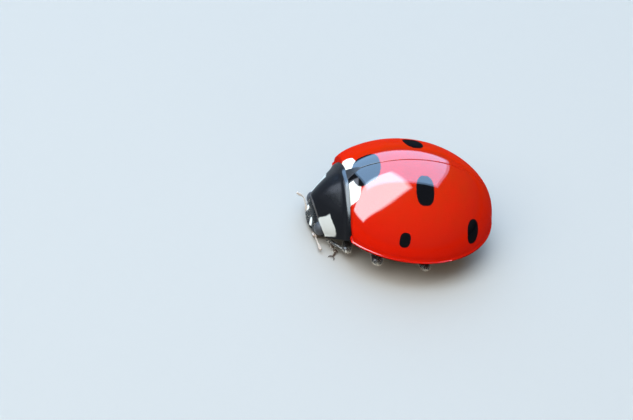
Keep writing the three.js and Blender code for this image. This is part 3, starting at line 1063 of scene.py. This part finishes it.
def makeShieldMaterial():
    material, add, shader, place = startMaterial("neckShieldBlack")
    addRelief(add, shader, place, 14.0, 0.003, 0.006)
    edges = ("hindLine", "topLine", "lowLine", "foreLine")
    hind, top, low, fore = (sideLine(add, place, *shieldLook[key]) for key in edges)
    corner = maths(add, "SMOOTH_MIN", hind, top, 0.05)
    rightSide = maths(add, "LESS_THAN", add("SeparateXYZ", {0: place}).outputs["X"], 0.0)
    corner = maths(add, "MULTIPLY_ADD", rightSide, shieldLook["rightGrow"], corner)
    corner = maths(add, "SMOOTH_MIN", corner, low, 0.3)
    wave = add("TexNoise", {"Vector": place, "Scale": 3.5, "Detail": 1.0})
    swing = maths(add, "MULTIPLY_ADD", wave.outputs["Fac"], 0.08, -0.04)
    pale = ramp(add, maths(add, "ADD", corner, swing), -0.015, 0.02, shape="SMOOTHSTEP")
    dark = mixed(add, ramp(add, fore, -0.09, -0.05), shieldLook["black"], shieldLook["border"])
    colour = mixed(add, pale, dark, shieldLook["ivory"])
    # The raised hind rim is smooth and bright, the disc finely grained and duller.
    ahead = (0, 1, math.tan(neckJoint["tilt"]))
    fromJoint = add("VectorMath", {0: place, 1: ahead}, operation="DOT_PRODUCT")
    rim = ramp(add, fromJoint.outputs["Value"], neckJoint["y"] - 0.2, neckJoint["y"] - 0.12)
    gloss = maths(add, "MULTIPLY", maths(add, "MULTIPLY_ADD", rim, 0.4, 0.6), skyGloss(add))
    fillSockets(shader, {"Base Color": colour, "Roughness": 0.45, "Specular IOR Level": 0.12})
    fillSockets(shader, {"Coat Weight": gloss, "Coat Roughness": 0.2, "Coat IOR": 1.7})
    return material


headLook = {
    "black": (0.004, 0.004, 0.004, 1),
    "white": (0.78, 0.74, 0.66, 1),
    "spot": ((0.36, -3.58, -0.69), (0.1, 0.14, 0.16), (0, -0.5, 0)),
}


def makeHeadMaterial():
    material, add, shader, place = startMaterial("headBlack")
    addRelief(add, shader, place, 15.0, 0.006, 0.008)
    parts = add("SeparateXYZ", {0: place}).outputs
    folded = withX(add, parts, maths(add, "ABSOLUTE", parts["X"]))
    white = spotMask(add, folded, *headLook["spot"], waver=0.3)
    colour = mixed(add, white, headLook["black"], headLook["white"])
    fillSockets(shader, {"Base Color": colour, "Roughness": 0.4, "Specular IOR Level": 0.2})
    fillSockets(shader, {"Coat Weight": 0.25, "Coat Roughness": 0.12})
    return material


headMaterial = makeHeadMaterial()
caseMaterial = makeCaseMaterial()
shieldMaterial = makeShieldMaterial()
plain = {name: makePlainMaterial(name, *look) for name, look in plainLooks.items()}

for side in ("left", "right"):
    makeWingCase(side, caseMaterial)
    makeEye(side, plain["eyeGrey"])
    makeFeeler(side, plain["feelerBrown"])
    makePalp(side, plain["feelerBrown"])
makeShield(shieldMaterial)
makeChestCore(plain["bellyBlack"])
makeScutellum(plain["plateBlack"])
headSkin = makeHead(headMaterial)
print("wing cases, shield and head made")
for pair in ("front", "middle", "hind"):
    for side in ("left", "right"):
        makeLeg(pair, side, plain["cuticleBlack"], plain["footBrown"])
makeUnderside(plain["bellyBlack"])
print("legs and underside made")
growHairs("legHair", legHairs, plain["hairPale"], "foot_brown", 7)
growHairs("bellyHair", bellyHairs, plain["hairPale"], "underside_black", 11)
headBed = hairBed(*wrappedSkin(headSkin), 420, (0, -0.2, -1), width=0.004, rise=0.35)
headBed["where"] = lambda roots: (roots[:, 1] < -3.35) & (np.abs(roots[:, 0]) < 0.75)
growHairs("headHair", [headBed], plain["hairPale"], "cuticle_black", 13)
print("hairs grown")

floorHalf = 0.6
floorCorners = [(x * floorHalf, y * floorHalf, 0) for x, y in ((-1, -1), (1, -1), (1, 1), (-1, 1))]
floorMesh = bpy.data.meshes.new("floor")
floorMesh.from_pydata(floorCorners, [], [(0, 1, 2, 3)])
floorPiece = newObject("floor", floorMesh)
floorMaterial = bpy.data.materials.new("paleFloor")
floorMaterial.use_nodes = True
floorShader = floorMaterial.node_tree.nodes["Principled BSDF"]
fillSockets(floorShader, {"Base Color": (0.3, 0.255, 0.2, 1), "Roughness": 0.7})
floorMesh.materials.append(floorMaterial)


def direction(azimuth, elevation):
    # Azimuth 0 is towards the head and 90 towards the animal's left.
    a, e = math.radians(azimuth), math.radians(elevation)
    return Vector((math.sin(a) * math.cos(e), -math.cos(a) * math.cos(e), math.sin(e)))


def softBox(name, aim, distance, size, radiance, colour):
    azimuth, elevation, roll = aim
    light = bpy.data.lights.new(name, "AREA")
    light.shape = "RECTANGLE"
    light.size, light.size_y = size
    light.energy = radiance * size[0] * size[1] * math.pi
    light.color = colour
    lamp = newObject(name, light)
    away = direction(azimuth, elevation)
    turn = away.to_track_quat("Z", "Y") @ Euler((0, 0, math.radians(roll))).to_quaternion()
    lamp.rotation_mode = "QUATERNION"
    lamp.rotation_quaternion = turn
    lamp.location = bodyOrigin + away * distance
    return lamp


# A blue sky behind and above, a bright cloud before it and a dimmer strip low in front. Each is a
# few panels of growing size, so that its mirrored edge is soft. The two fills aren't mirrored.
for grow in (0.92, 1.0):
    distance = 0.34 + 0.01 * grow
    softBox("skyPanel", (-87, 56, -6), distance, (0.61 * grow, 0.55 * grow), 2.35, (0.36, 0.61, 0.97))
for grow in (0.88, 0.95, 1.02):
    distance = 0.33 + 0.02 * grow
    softBox("cloudPanel", (21.5, 56, 7), distance, (0.25 * grow, 0.5 * grow), 2.3, (0.8, 0.92, 1.0))
    softBox("lowSkyPanel", (-14, 27, 0), distance, (0.18 * grow, 0.15 * grow), 1.1, (0.52, 0.58, 0.7))
sideFill = softBox("sideFill", (105, 28, 0), 0.4, (0.6, 0.5), 1.2, (1.0, 0.93, 0.86))
skyFill = softBox("skyFill", (-20, 70, 0), 0.4, (0.6, 0.5), 2.0, (0.45, 0.59, 0.97))
sideFill.visible_glossy = False
skyFill.visible_glossy = False

world = bpy.data.worlds.new("studio")
bpy.context.scene.world = world
world.use_nodes = True
fillSockets(world.node_tree.nodes["Background"], {"Color": (0.92, 0.96, 1.0, 1), "Strength": 0.04})

view = {"azimuth": 64.9, "elevation": 41.35, "roll": 20.69, "distance": 150, "frameWidth": 23.29}
viewOffset = {"right": -3.32, "up": -0.11}  # where the frame's middle lies from the body's zero


def placeCamera():
    camera = bpy.data.cameras.new("camera")
    holder = newObject("camera", camera)
    back = direction(view["azimuth"], view["elevation"])
    azimuth, roll = math.radians(view["azimuth"]), math.radians(view["roll"])
    level = Vector((math.cos(azimuth), math.sin(azimuth), 0))
    rise = back.cross(level)
    right = level * math.cos(roll) + rise * math.sin(roll)
    up = rise * math.cos(roll) - level * math.sin(roll)
    place = bodyOrigin + back * view["distance"] * mm
    target = bodyOrigin + (right * viewOffset["right"] + up * viewOffset["up"]) * mm
    away = (place - target).normalized()
    right = up.cross(away).normalized()
    up = away.cross(right)
    turn = Matrix((right, up, away)).transposed().to_quaternion()
    holder.matrix_world = Matrix.LocRotScale(place, turn, None)
    camera.lens = camera.sensor_width * view["distance"] / view["frameWidth"]
    camera.clip_start, camera.clip_end = 0.005, 5
    bpy.context.scene.camera = holder


placeCamera()
bpy.context.scene.view_settings.view_transform = "Standard"
